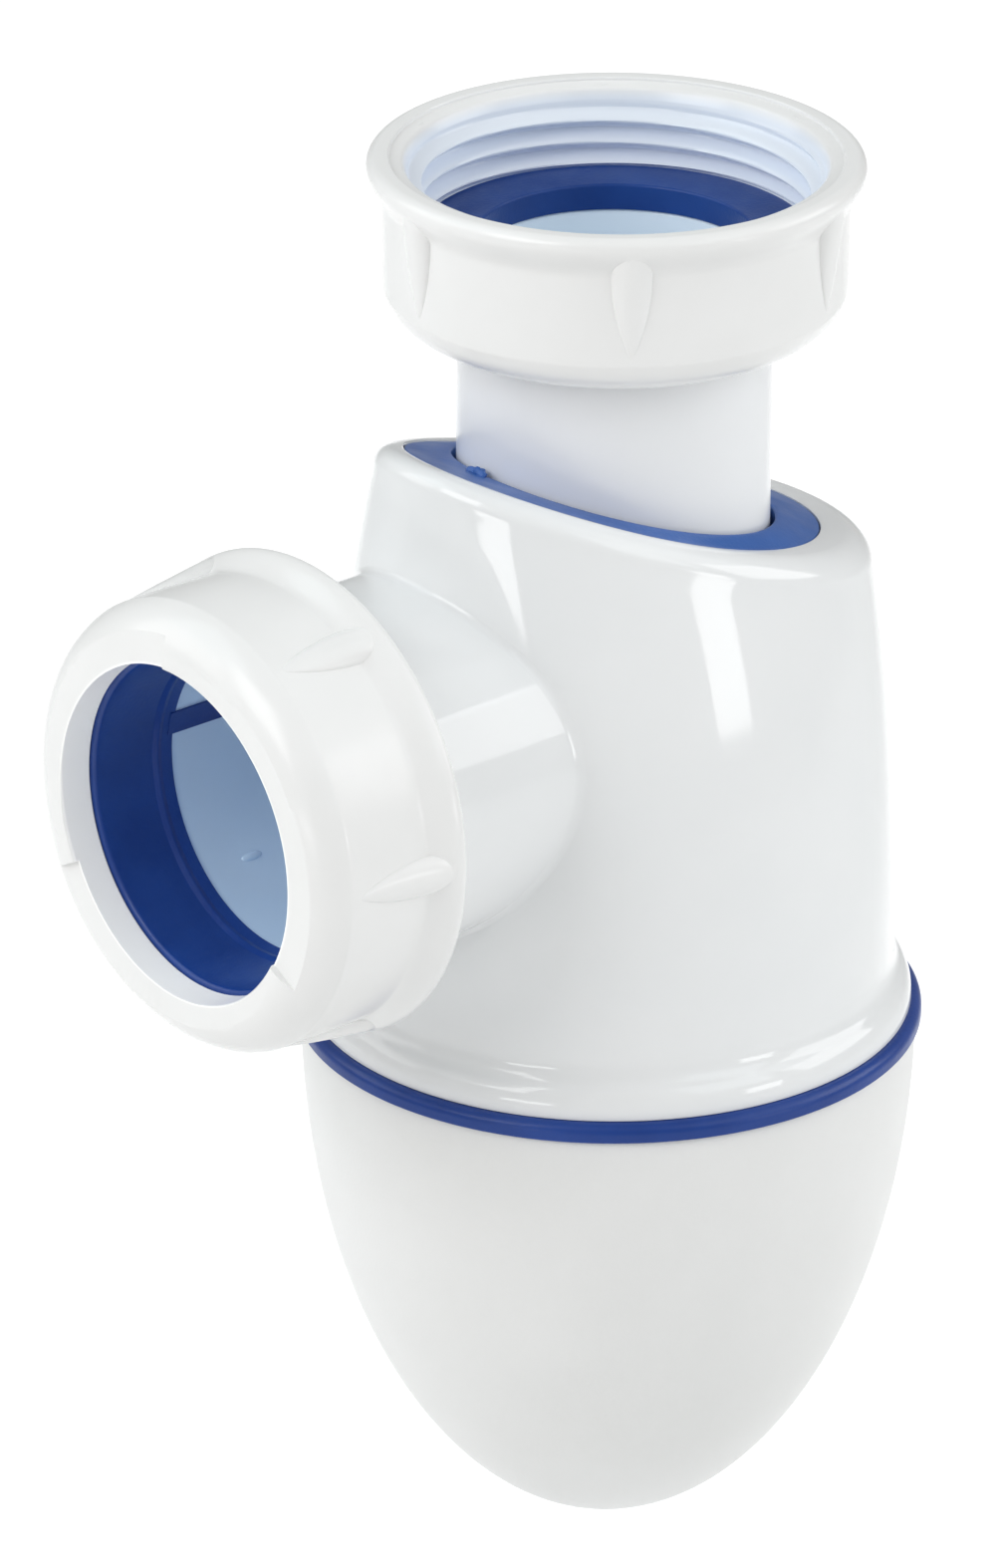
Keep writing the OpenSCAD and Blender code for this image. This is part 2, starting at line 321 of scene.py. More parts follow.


# a painted bore light fades in over this stretch of its axis, in metres; this one comes before every piece
wholeLength = (-1.0, -0.9)
glossyWhiteLook = {
    "centre": (0, 0, 0.05), "deep": (0.850, 0.862, 0.868), "pale": (0.880, 0.888, 0.892),
    "cloud": 55, "rough": (0.055, 0.095), "grain": 0.05, "grainDepth": 0.00004,
    "grainScale": 1600, "wave": 0.03, "ior": 1.5, "paintedGlow": (0, 0, 0),
    # painted bounce light: the outlet's bore is tinted blue and glows faintly blue, for light off the blue
    # seal
    "paintedBoreLight": {"shift": (0, 0, -outletZ * mm), "across": (0, 1, 1), "radius": 0.0166, "soft": 0.0004,
               "axis": "X", "start": (0.014, 0.018), "colour": (0.645, 0.81, 0.915),
               "light": (0.0, 0.004, 0.036)}}
nutWhiteLook = {
    "centre": (0.02, 0, 0), "deep": (0.868, 0.866, 0.858), "pale": (0.896, 0.894, 0.888),
    "cloud": 70, "rough": (0.19, 0.25), "grain": 0.06, "grainDepth": 0.00004,
    "grainScale": 1400, "wave": 0.012, "ior": 1.49, "paintedGlow": (0, 0, 0)}
# painted bounce light: the inlet nut's thread is tinted bluish and glows faintly blue
inletNutWhiteLook = dict(nutWhiteLook, paintedBoreLight={
    "shift": (0, 0, 0), "across": (1, 1, 0), "radius": 0.0209, "soft": 0.0006, "axis": "Z",
    "start": ((inletNutLow.z + 3.4) * mm, (inletNutLow.z + 3.9) * mm),
    "colour": (0.81, 0.855, 0.895), "light": (0.006, 0.012, 0.042)})
# painted light: the outlet nut's hole wall is made paler and glows warm white, lifting the shade in it
outletNutWhiteLook = dict(nutWhiteLook, paintedBoreLight={
    "shift": (0, 0, -outletZ * mm), "across": (0, 1, 1), "radius": 0.01752, "soft": 0.0003,
    "axis": "X", "start": wholeLength, "colour": (0.89, 0.90, 0.905), "light": (0.20, 0.19, 0.165)})
tubeWhiteLook = {
    "centre": (0, 0.01, 0), "deep": (0.865, 0.875, 0.890), "pale": (0.890, 0.900, 0.912),
    "cloud": 60, "rough": (0.15, 0.22), "grain": 0.08, "grainDepth": 0.00005,
    # painted glow: the tube and the sleeve give off a little light, evening out their shade
    "grainScale": 1800, "wave": 0.03, "ior": 1.49, "paintedGlow": (0.09, 0.088, 0.086)}
# painted bounce light: the inlet tube's bore is tinted bluish and glows faintly blue
inletTubeWhiteLook = dict(tubeWhiteLook, paintedBoreLight={
    "shift": (0, 0, 0), "across": (1, 1, 0), "radius": 0.0147, "soft": 0.0004,
    "axis": "X", "start": wholeLength, "colour": (0.85, 0.89, 0.92), "light": (0.022, 0.050, 0.078)})
cupWhiteLook = {
    "centre": (0, 0, 0.11), "deep": (0.806, 0.806, 0.796), "pale": (0.840, 0.839, 0.832),
    "cloud": 45, "rough": (0.38, 0.48), "grain": 0.35, "grainDepth": 0.00008,
    "grainScale": 2600, "wave": 0.04, "ior": 1.47, "paintedGlow": (0, 0, 0)}
sealBlueLook = {
    "centre": (0, 0, 0.03), "deep": (0.011, 0.042, 0.205), "pale": (0.017, 0.057, 0.255),
    "cloud": 120, "rough": (0.30, 0.42), "grain": 0.3, "grainDepth": 0.00008,
    "grainScale": 2200, "wave": 0.08, "ior": 1.45, "paintedGlow": (0, 0, 0)}
slantedSealBlueLook = dict(sealBlueLook, deep=(0.030, 0.108, 0.370), pale=(0.042, 0.134, 0.435), ior=1.42)
outletSealBlueLook = dict(sealBlueLook, deep=(0.007, 0.040, 0.225), pale=(0.011, 0.055, 0.280),
                          rough=(0.285, 0.34))
washerBlueLook = dict(sealBlueLook, deep=(0.006, 0.040, 0.205), pale=(0.010, 0.054, 0.255), ior=1.38)
ringBlueLook = dict(sealBlueLook, deep=(0.007, 0.040, 0.225), pale=(0.011, 0.053, 0.280),
                    rough=(0.285, 0.36), ior=1.42)

glossyWhite = plastic("glossyWhite", glossyWhiteLook)
inletNutWhite = plastic("inletNutWhite", inletNutWhiteLook)
outletNutWhite = plastic("outletNutWhite", outletNutWhiteLook)
tubeWhite = plastic("tubeWhite", tubeWhiteLook)
inletTubeWhite = plastic("inletTubeWhite", inletTubeWhiteLook)
cupWhite = plastic("cupWhite", cupWhiteLook)
slantedSealBlue = plastic("slantedSealBlue", slantedSealBlueLook)
outletSealBlue = plastic("outletSealBlue", outletSealBlueLook)
washerBlue = plastic("washerBlue", washerBlueLook)
ringBlue = plastic("ringBlue", ringBlueLook)
print("finishes made")


# the two union nuts, one moulding used twice
unionNut = {
    "steps": 144, "height": 17.6, "holeRadius": 17.5, "flatRadius": 18.4, "sideRadius": 23.4,
    "creaseHeight": 3.65, "lipRadius": 25.1, "lipRound": 1.1, "flare": 3.5, "shoulder": 4.0,
    "reliefRadius": 19.9, "reliefTop": 9.0, "rootRadius": 20.95, "crestRadius": 19.5, "pitch": 2.309,
    "crestHeight": 14.0, "crestAzimuth": math.radians(176.8), "threadTop": 16.0, "threadRow": 0.17,
    "threadFade": (0.2, 1.3, 0.4),     # from and to this far under threadTop, and over reliefTop
    # how far out and how high, from the hole's radius and from the side's
    "holeEdge": ((0, 0.5), (0.05, 0.25), (0.2, 0.06), (0.42, 0)),
    "sideDraft": ((0.04, 3.77), (0.06, 4.05), (0.1, 8.0), (0.11, 10.5), (0.12, 12.5)),
    # the lip's flat, its fine step and the mouth's chamfer: radius, depth under the lip
    "mouth": ((23.1, 0), (22.92, 0.04), (22.82, 0.16), (22.8, 0.34), (22.66, 0.42), (21.75, 0.62),
              (21.5, 0.72), (21.32, 0.95)),
    "ribs": 6, "ribTip": 4.5, "ribStern": 17.1, "ribHalfWidth": 2.1, "ribRise": 1.45, "ribSink": 0.02,
    "ribWidest": 0.7, "ribSternReach": 0.55, "ribTopAt": 0.8, "ribSegments": (28, 36),
    "ramps": ((-148, 115), (-270, 122), (-33, 123)),     # start and sweep in degrees
    "rampDepth": 0.7, "rampStart": 0.03, "rampInner": 16.2, "rampOuter": 27, "rampLow": -2, "rampSteps": 40,
    "inletTurn": 52, "outletTurn": 30,
}


def nutOutline(nut):
    side, flat, crease = nut["sideRadius"], nut["flatRadius"], nut["creaseHeight"]
    hole, root, relief, top = nut["holeRadius"], nut["rootRadius"], nut["reliefRadius"], nut["height"]
    lipRound, reliefTop, shoulder = nut["lipRound"], nut["reliefTop"], nut["shoulder"]
    turn = 2 * math.atan2(crease, side - flat)
    bend = (side - flat) / math.sin(turn)
    outline = [(hole + outward, height) for outward, height in nut["holeEdge"]]
    outline += [(flat + bend * math.sin(turn * share), bend - bend * math.cos(turn * share))
                for share in shares(10)]
    outline += [(side + outward, height) for outward, height in nut["sideDraft"]]
    flareSide, flareLow = side + nut["sideDraft"][-1][0], top - lipRound - nut["flare"]
    outline += [(flareSide + (nut["lipRadius"] - flareSide) * smoothStep(0, 1, share),
                 flareLow + nut["flare"] * share) for share in shares(12)]
    outline += arc(nut["lipRadius"] - lipRound, top - lipRound, lipRound, lipRound, 10, 90, 7)
    outline += [(radius, top - depth) for radius, depth in nut["mouth"]]
    outline += [(root + 0.02, nut["threadTop"] - 0.1)]
    outline += rows(root, nut["threadTop"] - 0.25, reliefTop + 0.12, nut["threadRow"])
    outline += [(relief + 0.15, reliefTop), (relief, reliefTop - 0.2), (relief, shoulder + 0.2),
                (relief - 0.2, shoulder), (hole + 0.25, shoulder), (hole, shoulder - 0.25)]
    return outline


def unionNutShell(nut):
    shell = spun(nutOutline(nut), nut["steps"])
    fadeStart, fadeEnd, fadeFoot = nut["threadFade"]
    # the rounded thread winds down the wall and fades out at both ends
    for vert in shell.verts:
        radius, azimuth = math.hypot(vert.co.x, vert.co.y), math.atan2(vert.co.y, vert.co.x)
        if nut["reliefTop"] < vert.co.z < nut["threadTop"] and radius < nut["rootRadius"] + 0.01:
            bump = threadBump(vert.co.z, azimuth - nut["crestAzimuth"], nut["crestHeight"], nut["pitch"])
            bump *= smoothStep(nut["threadTop"] - fadeStart, nut["threadTop"] - fadeEnd, vert.co.z)
            bump *= smoothStep(nut["reliefTop"], nut["reliefTop"] + fadeFoot, vert.co.z)
            scale = (radius - (nut["rootRadius"] - nut["crestRadius"]) * bump) / radius
            vert.co.x, vert.co.y = vert.co.x * scale, vert.co.y * scale
    # three slow ramps on the plain face, each ending in a step
    inner, outer, low, start = nut["rampInner"], nut["rampOuter"], nut["rampLow"], nut["rampStart"]
    for startDeg, sweepDeg in nut["ramps"]:
        cutter = bmesh.new()
        across, up = math.cos(math.radians(startDeg)), math.sin(math.radians(startDeg))
        square = [cutter.verts.new((radius * across, radius * up, height))
                  for radius, height in ((inner, low), (outer, low), (outer, -start), (inner, -start))]
        face = cutter.faces.new(square)
        bmesh.ops.spin(cutter, geom=[face, *face.edges, *square], cent=(0, 0, 0), axis=(0, 0, 1),
                       dvec=(0, 0, (nut["rampDepth"] + start) / nut["rampSteps"]),
                       angle=math.radians(sweepDeg), steps=nut["rampSteps"])
        bmesh.ops.recalc_face_normals(cutter, faces=cutter.faces)
        shell = combined(shell, cutter, "DIFFERENCE")
    # boat-shaped ribs: a pointed tip towards the plain face, a blunt stern under the lip
    around, along = nut["ribSegments"]
    widest, sternReach = nut["ribWidest"], nut["ribSternReach"]
    for number in range(nut["ribs"]):
        rib = bmesh.new()
        bmesh.ops.create_uvsphere(rib, u_segments=around, v_segments=along, radius=1)
        for vert in rib.verts:
            wide = math.hypot(vert.co.x, vert.co.y)
            share = (1 + vert.co.z) / 2
            fromWidest = abs(share - widest) / (widest if share < widest else sternReach)
            width = nut["ribHalfWidth"] * (1 - min(1, fromWidest) ** 1.8) ** 0.85
            rise = nut["ribRise"] * min(1, (share / nut["ribTopAt"]) ** 0.9)
            across, up = 0, 0
            if wide > joinDistance:
                across, up = vert.co.y / wide * width, vert.co.x / wide * rise
            radius = nut["sideRadius"] + nut["ribSink"] + up
            azimuth = across / radius + number * fullTurn / nut["ribs"]
            height = nut["ribTip"] + (nut["ribStern"] - nut["ribTip"]) * share
            vert.co = (radius * math.cos(azimuth), radius * math.sin(azimuth), height)
        bmesh.ops.recalc_face_normals(rib, faces=rib.faces)
        shell = combined(shell, rib, "UNION")
    return shell


outletNutMesh = unionNutShell(unionNut)
inletNutMesh = outletNutMesh.copy()
turned(inletNutMesh, unionNut["inletTurn"], "Z")
moved(inletNutMesh, 0, inletNutLow.z)
finished(inletNutMesh, "inletUnionNut", "inlet_nut", ["inlet_nut"], inletNutWhite)
turned(outletNutMesh, unionNut["outletTurn"], "Z")
turned(outletNutMesh, -90, "Y")
moved(outletNutMesh, outletFaceX, outletZ)
finished(outletNutMesh, "outletUnionNut", "outlet_nut", ["outlet_nut"], outletNutWhite)


# inlet tube and its flat washer
inletTube = {"steps": 144, "radius": 16.0, "bore": 14.2, "flangeRadius": 19.3, "flange": 2.4,
             "footChamfer": 0.7, "footHeight": 1.6, "edge": 0.3}
tube = inletTube
flangeLow = tubeHigh.z - tube["flange"]
tubeMesh = spun(rounded([
    (tube["bore"], tubeLow.z, tube["edge"]), (tube["radius"] - tube["footChamfer"], tubeLow.z, 0.2),
    (tube["radius"], tubeLow.z + tube["footHeight"], 0.6), (tube["radius"], flangeLow, 0.5),
    (tube["flangeRadius"], flangeLow, tube["edge"]), (tube["flangeRadius"], tubeHigh.z, tube["edge"]),
    (tube["bore"], tubeHigh.z, 0.5)]), tube["steps"])
finished(tubeMesh, "slidingTube", "inlet_tube", ["inlet_tube"], inletTubeWhite)

flatWasher = {"steps": 128, "outer": 19.75, "hole": 13.9, "edge": 0.3}
washer = flatWasher
washerMesh = spun(rounded([
    (washer["hole"], washerLow.z, washer["edge"]), (washer["outer"], washerLow.z, washer["edge"]),
    (washer["outer"], washerHigh.z, washer["edge"]), (washer["hole"], washerHigh.z, washer["edge"])]),
    washer["steps"])
finished(washerMesh, "flatWasher", "inlet_tube", ["inlet_washer"], washerBlue)


# the body: an oval form over a round collar and a threaded neck, with the outlet boss
trapBody = {
    "steps": 192, "topDrop": -28.5, "topSlope": 0.318, "topBend": 167.0, "footRadius": 29.6,
    "topHalfLength": 27.6, "topHalfWidth": 22.2, "wall": 2.4, "rimRound": 3.0, "formRows": 34,
    "collarRadius": 31.6, "collarHeight": 8.4, "beadHeight": 3.6, "hollowRise": 2.4, "hollowDip": 0.88,
    "neckRoot": 28.2, "neckCrest": 29.25, "neckBore": 25.8, "neckLead": 4.0, "neckRows": 42,
    "neckFlank": (0.35, 0.9), "neckCrestRise": 2,       # the cup's thread uses these two as well
    "pocketHalfLength": 23.0, "pocketHalfWidth": 18.75, "sealThickness": 3.2, "ledge": 2.3,
    "sleeveHole": 18.25, "cavityRows": 20, "bossSteps": 168, "bossRadius": 18.75, "bossRoot": 0.8,
    "bossInner": 13.2, "spigotEnd": 52.2, "threadStart": 42.8, "spigotRoot": 19.3, "spigotCrest": 20.7,
    "spigotRows": 56, "spigotFlank": (0.1, 0.95), "boreSteps": 144, "boreStart": 12, "boreBeyond": 3,
    "socketRadius": 16.1, "passageRadius": 14.7, "socketStart": 28.2, "skirtDepth": 6.2,
    "seatRadius": 17.1, "seatMouth": 17.98,
    "markX": 39.0, "markDeg": 227, "markHalves": (1.3, 0.45, 0.35),   # length, width, rise
    "heightGuess": -30, "heightPasses": 12,             # for where the wall meets the slanted top
}
trap = trapBody
jointZ = ringHigh.z
footZ = jointZ + trap["collarHeight"]
riseZ = trap["topDrop"] - footZ
neckCrestZ = bodyLow.z + trap["neckCrestRise"]


def topHeight(x):
    return trap["topDrop"] + trap["topSlope"] * x + x * x / (2 * trap["topBend"])


def formHalves(z, inset=0.0):
    # half of the form's length and of its width at a height
    share, foot = max(0, (z - footZ) / riseZ), trap["footRadius"]
    return (foot - (foot - trap["topHalfLength"]) * share * share - inset,
            foot - (foot - trap["topHalfWidth"]) * share * share - inset)


def roundRing(radius, z):
    return lambda angle: (radius * math.cos(angle), radius * math.sin(angle), z)


def formRing(share, drop, inset=0.0):
    # share runs from the foot, 0, to the slanted top less drop, 1
    def point(angle):
        z = footZ
        for heightPass in range(trap["heightPasses"]):
            halfLength = formHalves(z, inset)[0]
            z = footZ + share * (topHeight(halfLength * math.cos(angle)) - drop - footZ)
        halfLength, halfWidth = formHalves(z, inset)
        return halfLength * math.cos(angle), halfWidth * math.sin(angle), z
    return point


def rimRing(turn):
    # turn runs from 0 on the wall to a quarter turn on the slanted top
    inset, drop = trap["rimRound"] * (1 - math.cos(turn)), trap["rimRound"] * (1 - math.sin(turn))

    def point(angle):
        z = trap["heightGuess"]
        for heightPass in range(trap["heightPasses"]):
            wallLength = formHalves(z)[0]
            z = topHeight((wallLength - inset) * math.cos(angle)) - drop
        wallLength, wallWidth = formHalves(topHeight(wallLength * math.cos(angle)) - trap["rimRound"])
        x = (wallLength - inset) * math.cos(angle)
        return x, (wallWidth - inset) * math.sin(angle), topHeight(x) - drop
    return point


def slantedRing(halfLength, halfWidth, drop):
    def point(angle):
        x = halfLength * math.cos(angle)
        return x, halfWidth * math.sin(angle), topHeight(x) - drop
    return point


def mixedRing(one, other, share):
    def point(angle):
        return tuple(here + (there - here) * share for here, there in zip(one(angle), other(angle)))
    return point


def neckRing(z):
    fade = smoothStep(bodyLow.z + 0.4, bodyLow.z + 1.6, z) * smoothStep(ringLow.z - 0.3, ringLow.z - 1.6, z)

    def point(angle):
        bump = smoothStep(*trap["neckFlank"], threadBump(z, angle, neckCrestZ, trap["neckLead"]))
        radius = trap["neckRoot"] + (trap["neckCrest"] - trap["neckRoot"]) * bump * fade
        return radius * math.cos(angle), radius * math.sin(angle), z
    return point


# up the outside of the neck and out to the collar
bodyRings = [roundRing(trap["neckBore"] + 0.4, bodyLow.z), roundRing(trap["neckRoot"] - 0.5, bodyLow.z),
             roundRing(trap["neckRoot"] - 0.1, bodyLow.z + 0.15)]
neckLow, neckTop = bodyLow.z + 0.35, jointZ - 0.1
bodyRings += [neckRing(neckLow + (neckTop - neckLow) * share) for share in shares(trap["neckRows"])]
collar, foot = trap["collarRadius"], trap["footRadius"]
bodyRings += [roundRing(trap["neckRoot"] + 0.15, jointZ), roundRing(collar - 0.2, jointZ),
              roundRing(collar - 0.05, jointZ + 0.06), roundRing(collar, jointZ + 0.22)]
# the collar's bead, then a tight hollow between the bead and the form's foot
collarArc = arc(foot - 0.2, jointZ + 0.5, collar - foot + 0.2, trap["beadHeight"] - 0.3, 4, 58, 12)
bodyRings += [roundRing(radius, z) for radius, z in collarArc]
hollowStart = Vector(collarArc[-1])
hollowEnd = Vector((foot + 0.03, jointZ + trap["beadHeight"] + trap["hollowRise"]))
hollowCorner = Vector((hollowEnd.x + 0.01, hollowStart.y + trap["hollowDip"]))
bodyRings += [roundRing(*curvePoint(hollowStart, hollowCorner, hollowEnd, share)) for share in shares(12, 1)]
bodyRings += [roundRing(foot + 0.02, footZ + 0.12)]
# up the form's wall, over the rim and down into the seal's pocket
bodyRings += [formRing(0.012 + 0.988 * share, trap["rimRound"]) for share in shares(trap["formRows"])[:-1]]
bodyRings += [rimRing(quarterTurn * share) for share in shares(9)]
pocketLength, pocketWidth = trap["pocketHalfLength"], trap["pocketHalfWidth"]
pocketEdge = slantedRing(pocketLength + 0.25, pocketWidth + 0.25, 0)
sleeveHole, cavityDrop = trap["sleeveHole"], trap["sealThickness"] + trap["ledge"]
bodyRings += [mixedRing(rimRing(quarterTurn), pocketEdge, 0.5), pocketEdge,
              slantedRing(pocketLength + 0.08, pocketWidth + 0.08, 0.07),
              slantedRing(pocketLength, pocketWidth, 0.25),
              slantedRing(pocketLength, pocketWidth, trap["sealThickness"]),
              slantedRing(sleeveHole, sleeveHole, trap["sealThickness"] + 0.02),
              slantedRing(sleeveHole, sleeveHole, cavityDrop)]
# under the ledge and down the inside
bodyRings += [mixedRing(slantedRing(sleeveHole, sleeveHole, cavityDrop),
                        formRing(1, cavityDrop, trap["wall"]), 0.92)]
bodyRings += [formRing(0.985 * (1 - share), cavityDrop, trap["wall"])
              for share in shares(trap["cavityRows"])]
bodyRings += [roundRing(trap["neckBore"] + 0.3, footZ - 1.4), roundRing(trap["neckBore"], footZ - 1.9),
              roundRing(trap["neckBore"], bodyLow.z + 0.4)]
bodyMesh = lofted(bodyRings, trap["steps"])


def wallX(y, z, inset=0.0):
    # where the form's wall stands, towards the outlet
    halfLength, halfWidth = formHalves(z, inset)
    return halfLength * math.sqrt(max(0, 1 - (y / halfWidth) ** 2))


def bossRing(radius, inset=0.0, along=0.0):
    # a ring round the outlet's axis that lies on the form, or along millimetres outside it
    def point(angle):
        y, z = radius * math.cos(angle), outletZ + radius * math.sin(angle)
        return wallX(y, z, inset) + along, y, z
    return point


def bossRootRing(share):
    # a bend that leaves the form's wall, 0, and ends along the boss, 1
    def point(angle):
        start = Vector(bossRing(trap["bossRadius"] + trap["bossRoot"], 0.04)(angle))
        corner = Vector(bossRing(trap["bossRadius"])(angle))
        end = Vector(bossRing(trap["bossRadius"], 0, trap["bossRoot"])(angle))
        return tuple(curvePoint(start, corner, end, share))
    return point


def acrossRing(radius, x):
    return lambda angle: (x, radius * math.cos(angle), outletZ + radius * math.sin(angle))


# the spigot's thread meshes with the outlet nut's: same pitch, half a turn out of step
nutCrestAngle = quarterTurn - (unionNut["crestAzimuth"] + math.radians(unionNut["outletTurn"]))
spigotCrestDepth = unionNut["crestHeight"] + unionNut["pitch"] / 2
threadStart, spigotEnd, spigotRoot = trap["threadStart"], trap["spigotEnd"], trap["spigotRoot"]


def spigotRing(x):
    fade = smoothStep(threadStart + 0.2, threadStart + 1.4, x)
    fade *= smoothStep(spigotEnd - 0.3, spigotEnd - 1.5, x)

    def point(angle):
        bump = threadBump(outletFaceX - x, nutCrestAngle - angle, spigotCrestDepth, unionNut["pitch"])
        rise = smoothStep(*trap["spigotFlank"], bump) * fade
        radius = spigotRoot + (trap["spigotCrest"] - spigotRoot) * rise
        return x, radius * math.cos(angle), outletZ + radius * math.sin(angle)
    return point


bossRadius = trap["bossRadius"]
bossRings = [bossRing(trap["bossInner"], trap["wall"] / 2),
             bossRing(bossRadius + trap["bossRoot"], trap["wall"] / 2)]
bossRings += [bossRootRing(share) for share in shares(9)]
bossStart, bossEnd = bossRing(bossRadius, 0, trap["bossRoot"]), acrossRing(bossRadius, threadStart - 0.3)
bossRings += [mixedRing(bossStart, bossEnd, share) for share in shares(12, 1)]
bossRings += [acrossRing(bossRadius + 0.12, threadStart - 0.05), acrossRing(spigotRoot - 0.1, threadStart)]
threadLow, threadHigh = threadStart + 0.1, spigotEnd - 0.25
bossRings += [spigotRing(threadLow + (threadHigh - threadLow) * share)
              for share in shares(trap["spigotRows"])]
bossRings += [acrossRing(spigotRoot - 0.08, spigotEnd - 0.07), acrossRing(spigotRoot - 0.3, spigotEnd),
              acrossRing(trap["bossInner"], spigotEnd)]
bodyMesh = combined(bodyMesh, lofted(bossRings, trap["bossSteps"]), "UNION")

# the way through: passage, stop, socket and the seat of the seal's skirt
skirtSeat, boreEnd = spigotEnd - trap["skirtDepth"], spigotEnd + trap["boreBeyond"]
bore = spun(rounded([
    (0, trap["boreStart"], 0), (trap["passageRadius"], trap["boreStart"], 0),
    (trap["passageRadius"], trap["socketStart"], 0.3), (trap["socketRadius"], trap["socketStart"], 0.3),
    (trap["socketRadius"], skirtSeat, 0), (trap["seatRadius"], skirtSeat, 0),
    (trap["seatMouth"], spigotEnd + 0.05, 0), (trap["seatMouth"], boreEnd, 0), (0, boreEnd, 0)], 4),
    trap["boreSteps"])
turned(bore, 90, "Y")
moved(bore, 0, outletZ)
bodyMesh = combined(bodyMesh, bore, "DIFFERENCE")
# a small raised mark of the mould on the socket's wall
mark = bmesh.new()
bmesh.ops.create_uvsphere(mark, u_segments=20, v_segments=12, radius=1)
markLong, markWide, markRise = trap["markHalves"]
for vert in mark.verts:
    radius = trap["socketRadius"] + vert.co.z * markRise
    azimuth = math.radians(trap["markDeg"]) + vert.co.y * markWide / trap["socketRadius"]
    vert.co = (trap["markX"] + vert.co.x * markLong,
               radius * math.cos(azimuth), outletZ + radius * math.sin(azimuth))
bodyMesh = merged(bodyMesh, mark)
finished(bodyMesh, "trapBody", "trap_body", ["body"], glossyWhite)


# the oval seal in the slanted top
topSeal = {"steps": 160, "halfLength": 22.93, "halfWidth": 18.68, "sunk": 0.06, "hole": 16.5, "lip": 16.1,
           "lipDepth": 1.3, "thickness": 3.15, "edge": 0.22, "lift": 0.95, "liftSlope": 0.042, "liftRows": 8,
           "nubPlace": (17.3, -1.2, 0.25), "nubHalves": (0.75, 1.1, 0.5)}
seal = topSeal


def liftedRing(halfLength, halfWidth, drop, share):
    # a slanted ring raised towards the tube; share is 0 at the rim and 1 at the hole
    def point(angle):
        x = halfLength * math.cos(angle)
        lift = share * (seal["lift"] - seal["liftSlope"] * x)
        return x, halfWidth * math.sin(angle), topHeight(x) - drop + lift
    return point


lip, edge = seal["lip"], seal["edge"]
sealRings = [slantedRing(lip + 0.3, lip + 0.3, seal["thickness"]),
             slantedRing(seal["halfLength"] - 0.2, seal["halfWidth"] - 0.2, seal["thickness"]),
             slantedRing(seal["halfLength"], seal["halfWidth"], seal["thickness"] - 0.2)]
for share in shares(4):
    turn = quarterTurn * share
    inset, drop = edge * (1 - math.cos(turn)), edge * (1 - math.sin(turn)) + seal["sunk"]
    sealRings.append(slantedRing(seal["halfLength"] - inset, seal["halfWidth"] - inset, drop))
for share in shares(seal["liftRows"])[1:-1]:
    halfLength = (seal["halfLength"] - edge) * (1 - share) + (seal["hole"] + edge) * share
    halfWidth = (seal["halfWidth"] - edge) * (1 - share) + (seal["hole"] + edge) * share
    raised = smoothStep(-0.25, 1.1, share) - 0.07 * (1 - share)
    sealRings.append(liftedRing(halfLength, halfWidth, seal["sunk"], raised))
for share in shares(4):
    turn = quarterTurn * share
    inset, drop = edge * (1 - math.sin(turn)), edge * (1 - math.cos(turn)) + seal["sunk"]
    sealRings.append(liftedRing(seal["hole"] + inset, seal["hole"] + inset, drop, 1))
sealRings += [slantedRing(seal["hole"], seal["hole"], seal["lipDepth"]),
              slantedRing(lip + 0.1, lip + 0.1, seal["lipDepth"] + 0.15),
              slantedRing(lip, lip, seal["lipDepth"] + 0.35), slantedRing(lip, lip, seal["thickness"] - 0.3)]
sealMesh = lofted(sealRings, seal["steps"])
# the torn nub where the moulding's gate was
nub = bmesh.new()
bmesh.ops.create_icosphere(nub, subdivisions=3, radius=1)
nubX, nubY, nubLift = seal["nubPlace"]
nubLong, nubWide, nubTall = seal["nubHalves"]
for vert in nub.verts:
    ripple = 1 + 0.22 * math.sin(5 * vert.co.x + 2 * vert.co.z) + 0.18 * math.cos(7 * vert.co.y)
    vert.co = Vector((nubX + vert.co.x * nubLong * ripple, nubY + vert.co.y * nubWide * ripple,
                      topHeight(nubX) + nubLift + vert.co.z * nubTall * ripple))
sealMesh = merged(sealMesh, nub)
finished(sealMesh, "slantedSeal", "trap_body", ["top_seal"], slantedSealBlue)

# the sleeve under it, round the sliding tube
dipSleeve = {"steps": 128, "outer": 18.2, "inner": 16.5, "middleZ": -60, "edge": 0.3}
outer, inner, footEdge = dipSleeve["outer"], dipSleeve["inner"], dipSleeve["edge"]
sleeveFoot, sleeveTop = sleeveLow.z, trap["sealThickness"] + 0.05
sleeveMesh = lofted([
    roundRing(inner + footEdge, sleeveFoot), roundRing(outer - footEdge, sleeveFoot),
    roundRing(outer - 0.08, sleeveFoot + 0.08), roundRing(outer, sleeveFoot + footEdge),
    roundRing(outer, dipSleeve["middleZ"]), slantedRing(outer, outer, sleeveTop),
    slantedRing(inner, inner, sleeveTop), roundRing(inner, dipSleeve["middleZ"]),
    roundRing(inner, sleeveFoot + footEdge)], dipSleeve["steps"])
finished(sleeveMesh, "dipSleeve", "trap_body", ["dip_sleeve"], tubeWhite)


